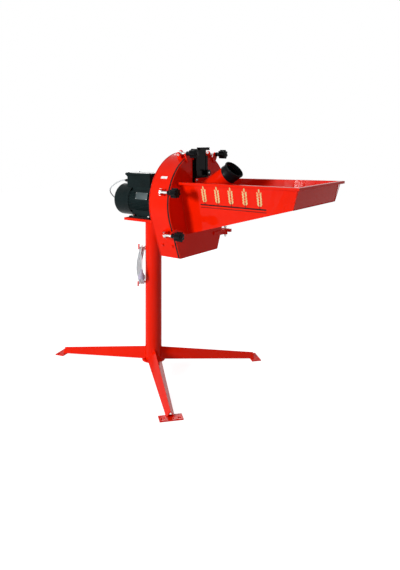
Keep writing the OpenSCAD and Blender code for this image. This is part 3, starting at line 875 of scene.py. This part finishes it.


# Dark rubber lip round the seam, wider than the seal itself: partly the seal, partly painted shadow of the
# seam.
seal_lip_and_seam_shadow = bmesh.new()
lip_line = [seal_lip_and_seam_shadow.verts.new(point) for point in drum_outline(246.4, 302, 271.6)]
lip_edges = [seal_lip_and_seam_shadow.edges.new(pair) for pair in zip(lip_line, lip_line[1:])]
shift_new(seal_lip_and_seam_shadow, bmesh.ops.extrude_edge_only(seal_lip_and_seam_shadow, edges=lip_edges), (9.4, 0, 0))
bmesh.ops.recalc_face_normals(seal_lip_and_seam_shadow, faces=seal_lip_and_seam_shadow.faces)
bmesh.ops.solidify(seal_lip_and_seam_shadow, geom=seal_lip_and_seam_shadow.faces[:], thickness=1.5)
finished("seal_lip_and_seam_shadow", seal_lip_and_seam_shadow, rubber, "stand")

COVER_FACE = 315.6
HINGES = ((745, 120, 165), (1002, 175, 232))
cover_welds = bmesh.new()


def weld_on_cover(points, place=Matrix.Identity(4)):
    """A weld run on the cover's face, through (y, z) points of a place."""
    weld_bead(cover_welds, [place @ Vector((COVER_FACE, y, z)) for y, z in points], 1.5)


for clamp in CLAMPS:
    for side in (-1, 1):
        weld_on_cover([(1, side * 14.6), (17.5, side * 14.6)], at_clamp(*clamp))
    weld_on_cover([(18.6, -14), (18.6, 14)], at_clamp(*clamp))
for height, inner, outer in HINGES:
    for side in (-1, 1):
        weld_on_cover([(inner, height + side * 8.6), (outer, height + side * 8.6)])
    weld_on_cover([(inner - 0.6, height - 8), (inner - 0.6, height + 8)])
finished("cover_welds", cover_welds, red_paint, "stand", 80)

hinge_pins = bmesh.new()
pin_foot = [(0, -38), (3.4, -38), (4.4, -37), (4.4, -34.2), (6.3, -34), (6.3, -25)]
pin_head = [(6.35, 8.4), (6.35, 16.1), (9.4, 16.3), (9.6, 17.5), (8.4, 20.4), (5, 22.3), (0, 22.8)]
for height, _, _ in HINGES:
    for outline in (pin_foot, pin_head):
        turned(hinge_pins, outline, at((301, 255, height)), 28)
finished("hinge_pins", hinge_pins, zinc, "stand")


# Gate

# Black steel plate that slides up and down between folded guides, with a lip to pull
# and a thumb screw through the strap to hold it. Sliding has rubbed its edges bright.

gate_black = painted(
    "gate_black", screen(13, 13, 15), screen(8, 8, 10), edge_colour=screen(96, 94, 92), dust=0.01
)
wear(gate_black, "slide_gate", "gate_guides")
wear(gloss_black, "gate_knob")
guide_screws = bmesh.new()
for side in (-1, 1):
    for height in (866, 930, 1050, 1118):
        hexagon(guide_screws, at((318.9, side * 56, height), (1, 0, 0), 15), 4.2, 3, washer=5.4)
finished("guide_screws", guide_screws, gate_black, "stand")

knob_screw = bmesh.new()
knob_screw_outline = [(0, 351.6), (4.6, 351.6), (4.6, 352.6), (3.8, 353.4), (0, 353.8)]
turned(knob_screw, knob_screw_outline, at((0, 30, 1073), (1, 0, 0)), 24)
finished("gate_knob_screw", knob_screw, zinc, "gate_screw")

lip_roll = bmesh.new()
bmesh.ops.create_cone(
    lip_roll, cap_ends=True, segments=20, radius1=3.4, radius2=3.4, depth=73.6,
    matrix=at((348, 0, 1192.4), (0, 1, 0)),
)
finished("gate_lip_roll", lip_roll, gate_black, "gate")


# Inlet pipe

# Steel pipe for stalks, welded at a slant to a flange over the cover's port, with a
# beaded black rubber collar that bends up round its mouth.

collar_rubber = moulding(
    "collar_rubber", screen(17, 21, 24), screen(10, 13, 15), 0.28, 420, 0.00005,
    radius=0.001, dust=0.02, gloss=0.08,
)
PIPE_FOOT = Vector((334, 0, 973))
PIPE_TILT = math.radians(32)
PIPE_RADIUS, PIPE_BORE, PIPE_END = 46, 42.5, 204
BEHIND_FLANGE, FLANGE_THICKNESS = -70, 3.9
along_pipe = Matrix.Translation(PIPE_FOOT) @ Matrix.Rotation(math.radians(90) - PIPE_TILT, 4, "Y")
upright = Matrix.Translation(PIPE_FOOT) @ Matrix.Rotation(math.radians(90), 4, "Y")
port_rise = PIPE_BORE / math.cos(PIPE_TILT)


def cut_at_flange(shape, x):
    """Cut what lies behind an upright plane away, and give the cut's edges."""
    whole = shape.verts[:] + shape.edges[:] + shape.faces[:]
    cut = bmesh.ops.bisect_plane(
        shape, geom=whole, dist=0.0001, plane_co=(x, 0, 0), plane_no=(-1, 0, 0), clear_outer=True
    )
    return [e for e in cut["geom_cut"] if isinstance(e, bmesh.types.BMEdge)]


pipe = bmesh.new()
pipe_outline = [
    (PIPE_RADIUS, BEHIND_FLANGE), (PIPE_RADIUS, PIPE_END - 1), (PIPE_RADIUS - 1, PIPE_END),
    (PIPE_BORE, PIPE_END), (PIPE_BORE, BEHIND_FLANGE),
]
turned(pipe, pipe_outline, along_pipe, 64)
bmesh.ops.bridge_loops(pipe, edges=cut_at_flange(pipe, 333))
flange = bmesh.new()
bmesh.ops.create_circle(
    flange, segments=4, radius=math.sqrt(2),
    matrix=upright @ Matrix.Diagonal((75, 60, 1, 1)) @ Matrix.Rotation(math.radians(45), 4, "Z"),
)
bmesh.ops.subdivide_edges(flange, edges=flange.edges[:], cuts=7)
bmesh.ops.create_circle(
    flange, segments=32, radius=1, matrix=upright @ Matrix.Diagonal((port_rise, PIPE_BORE, 1, 1))
)
bmesh.ops.bridge_loops(flange, edges=flange.edges[:])
back = bmesh.ops.extrude_face_region(flange, geom=flange.faces[:])
shift_new(flange, back, (-FLANGE_THICKNESS, 0, 0))
flange_mesh = bpy.data.meshes.new("inlet_flange_part")
flange.to_mesh(flange_mesh)
flange.free()
pipe.from_mesh(flange_mesh)
bpy.data.meshes.remove(flange_mesh)
inlet_tube = finished("inlet_tube", pipe, red_paint, "stand")
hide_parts("inlet_pipe")

collar = bmesh.new()
collar_section = [
    (46.1, 182.8), (48.2, 182.3), (49.3, 183.4), (49.5, 185), (49.3, 187), (48.5, 188.4), (48.3, 196),
    (48.4, 206), (48.7, 211), (49.1, 216), (49.8, 221), (51.2, 223), (52.3, 225.4), (52.5, 227.6),
    (51.6, 230.2), (49.6, 231.6), (48, 231.2), (47.1, 229.6), (46.6, 226), (45.6, 221), (44.4, 216),
    (43.2, 211), (42.3, 205.2), (46.1, 204.6),
]
hoop(collar, collar_section, Matrix.Identity(4), 72)
for cut in (221, 216, 211, 206):
    bmesh.ops.rotate(
        collar, verts=[v for v in collar.verts if v.co.z > cut - 0.5], cent=(0, 0, cut),
        matrix=Matrix.Rotation(math.radians(-3.75), 3, "Y"),
    )
bmesh.ops.transform(collar, matrix=along_pipe, verts=collar.verts)
feed_collar = finished("feed_collar", collar, collar_rubber, "stand", 50)
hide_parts("inlet_collar")

# Black rubber sleeve inside the pipe up to its mouth: painted shade that darkens the bore.
pipe_shade_lining = bmesh.new()
hoop(pipe_shade_lining, [(42.4, 0.5), (42.4, 204.5), (41.6, 204.5), (41.6, 0.5)], along_pipe, 64)
bmesh.ops.bridge_loops(pipe_shade_lining, edges=cut_at_flange(pipe_shade_lining, 335))
finished("pipe_shade_lining", pipe_shade_lining, collar_rubber, "stand")

pipe_weld = bmesh.new()
weld_width, weld_rise = PIPE_RADIUS + 0.8, PIPE_RADIUS / math.cos(PIPE_TILT) + 0.8
round_pipe = []
for i in range(91):
    a = math.tau * i / 90
    round_pipe.append((334.4, weld_width * math.cos(a), 973 + weld_rise * math.sin(a)))
weld_bead(pipe_weld, round_pipe, 2.4, 0.5)
finished("pipe_weld", pipe_weld, red_paint, "stand", 80)

flange_bolts = bmesh.new()
for side in (-1, 1):
    for height in (908, 1038):
        hexagon(flange_bolts, at((333.9, side * 51, height), (1, 0, 0), 10), 5, 4, washer=6.5)
finished("flange_bolts", flange_bolts, zinc, "stand")


# Tray

# Deep feed tray of folded sheet: two leaning side walls, a sloping floor and an end
# wall, seam-welded, with a turned-out rim. A row of plain grain ears is stencilled on
# its near side.

FOOT_BY_DRUM, FOOT_AT_END = Vector((315, -100, 774)), Vector((955, -214, 952))
RIM_AT_END = Vector((980, -217, 1047.72))
tray_welds = bmesh.new()
for side in (1, -1):
    flip = Vector((1, side, 1))
    end_seam = (FOOT_AT_END + Vector((0.8, 0, 0.4)), RIM_AT_END + Vector((0.6, 0, -13)))
    foot_seam = (FOOT_BY_DRUM + Vector((2, -0.3, 0)), FOOT_AT_END + Vector((0, -0.3, 0)))
    for seam in (end_seam, foot_seam):
        weld_bead(tray_welds, [point * flip for point in seam], 1.7)
    weld_bead(tray_welds, [(315.8, -101 * side, 778), (315.8, -166 * side, 1030)], 1.9)
weld_bead(tray_welds, [(956, -213, 951.6), (956, 213, 951.6)], 1.7)
finished("tray_welds", tray_welds, red_paint, "stand", 80)

straw_ink = printed("straw_ink", screen(226, 200, 140), screen(232, 90, 40))
dark_ink = printed("dark_ink", screen(20, 14, 14), screen(78, 22, 16))
EAR_PLACES = (462, 542, 622, 702, 782)
RULE_START, RULE_STEP, RULE_SLOPE = 432, 16, 0.018
INK_LIFT = 0.35


def up_the_wall(height, x):
    """A height at the start of the rules, carried along x beside them."""
    return height + (x - RULE_START) * RULE_SLOPE


def grain_shape(shape, x, z, wide, high, lean=0):
    """A filled oval, drawn in X and Z."""
    place = Matrix.Translation((x, 0, z)) @ Matrix.Rotation(math.radians(lean), 4, "Y")
    place = place @ Matrix.Diagonal((wide, 1, high, 1)) @ Matrix.Rotation(math.radians(90), 4, "X")
    bmesh.ops.create_circle(shape, cap_ends=True, segments=12, radius=1, matrix=place)


def four_sided(shape, *corners):
    """A filled four-sided shape, from its corners in X and Z."""
    shape.faces.new([shape.verts.new((x, 0, z)) for x, z in corners])


def laid_on_tray(name, shape, material):
    """Wrap a flat drawing, drawn in X and Z, on the tray's near wall as a thin film of ink."""
    for vert in shape.verts:
        spot, facing = touch("tray_near_wall", (vert.co.x, -400, vert.co.z), (0, 1, 0))
        vert.co = spot + facing * INK_LIFT
    return finished(name, shape, material, "stand", 30)


ears = bmesh.new()
for x in EAR_PLACES:
    middle = up_the_wall(972, x)
    for row in range(5):
        for side in (-1, 1):
            grain_shape(ears, x + side * 8, middle - 18 + row * 12, 4.3, 8.6, side * 32)
    grain_shape(ears, x, middle + 43, 4.2, 10)
laid_on_tray("stencil_ears", ears, straw_ink)

rules = bmesh.new()
for height, depth in ((930, 6.0), (919, 2.6)):
    for i in range(24):
        x0 = RULE_START + i * RULE_STEP
        x1 = x0 + RULE_STEP
        z0, z1 = up_the_wall(height, x0), up_the_wall(height, x1)
        four_sided(rules, (x0, z0), (x1, z1), (x1, z1 + depth), (x0, z0 + depth))
for x in EAR_PLACES:
    stalk = up_the_wall(936, x)
    four_sided(rules, (x - 1.7, stalk), (x + 1.7, stalk), (x + 1.3, stalk + 22), (x - 1.3, stalk + 22))
laid_on_tray("stencil_rules", rules, dark_ink)


# Floor, backdrop and light

# White studio sweep. Its white is its own colour, shown to the camera and to
# reflections; the lamps light the machine at a plain level.

floor_shape = bmesh.new()
bmesh.ops.create_grid(floor_shape, x_segments=1, y_segments=1, size=9)
floor_mesh = bpy.data.meshes.new("studio_floor")
floor_shape.to_mesh(floor_mesh)
floor_shape.free()
studio_floor = bpy.data.objects.new("studio_floor", floor_mesh)
scene.collection.objects.link(studio_floor)


def seen_directly(tree):
    """Light Path mask: rays of the camera, of reflections and through glass."""
    path = add(tree, "LightPath").outputs
    rays = {0: path["Is Camera Ray"], 1: path["Is Glossy Ray"]}
    seen = add(tree, "Math", rays, operation="MAXIMUM").outputs[0]
    return add(tree, "Math", {0: seen, 1: path["Is Transmission Ray"]}, operation="MAXIMUM").outputs[0]


white_floor, tree, shader, place = blank_material("white_floor")
mottle = use(tree, patches, {"Place": place, "Scale": 2.0, "Low": 0.3, "High": 0.7})["Mask"]
feed(tree, shader, {
    "Base Color": blended(tree, screen(205, 205, 205), screen(200, 200, 201), mottle),
    "Roughness": 0.9,
    "Specular IOR Level": 0.0,
})
glow = add(tree, "Emission", {"Color": (1, 1, 1, 1), "Strength": scaled(tree, seen_directly(tree), 0.86)})
both = add(tree, "AddShader", {0: shader.outputs[0], 1: glow.outputs[0]})
tree.links.new(both.outputs[0], tree.nodes["Material Output"].inputs["Surface"])
floor_mesh.materials.append(white_floor)

world = bpy.data.worlds.new("studio")
scene.world = world
world.use_nodes = True
sky = world.node_tree
backdrop = scaled(sky, seen_directly(sky), 0.74, 0.26)
feed(sky, sky.nodes["Background"], {"Color": (1, 1, 1, 1), "Strength": backdrop})


def soft_lamp(name, place, aim, width, power):
    """A large square lamp turned toward the machine."""
    lamp = bpy.data.lights.new(name, "AREA")
    lamp.shape = "SQUARE"
    lamp.size = width
    lamp.energy = power
    holder = bpy.data.objects.new(name, lamp)
    holder.location = place
    holder.rotation_euler = (Vector(aim) - Vector(place)).to_track_quat("-Z", "Y").to_euler()
    scene.collection.objects.link(holder)


soft_lamp("key_lamp", (-0.9, -3.6, 1.5), (0.3, 0, 0.8), 0.8, 114)
soft_lamp("top_lamp", (0.4, 0.4, 3.6), (0.3, 0, 0.9), 2.0, 7)
soft_lamp("back_lamp", (-2.2, 2.6, 2.2), (0.2, 0, 0.8), 1.4, 25)
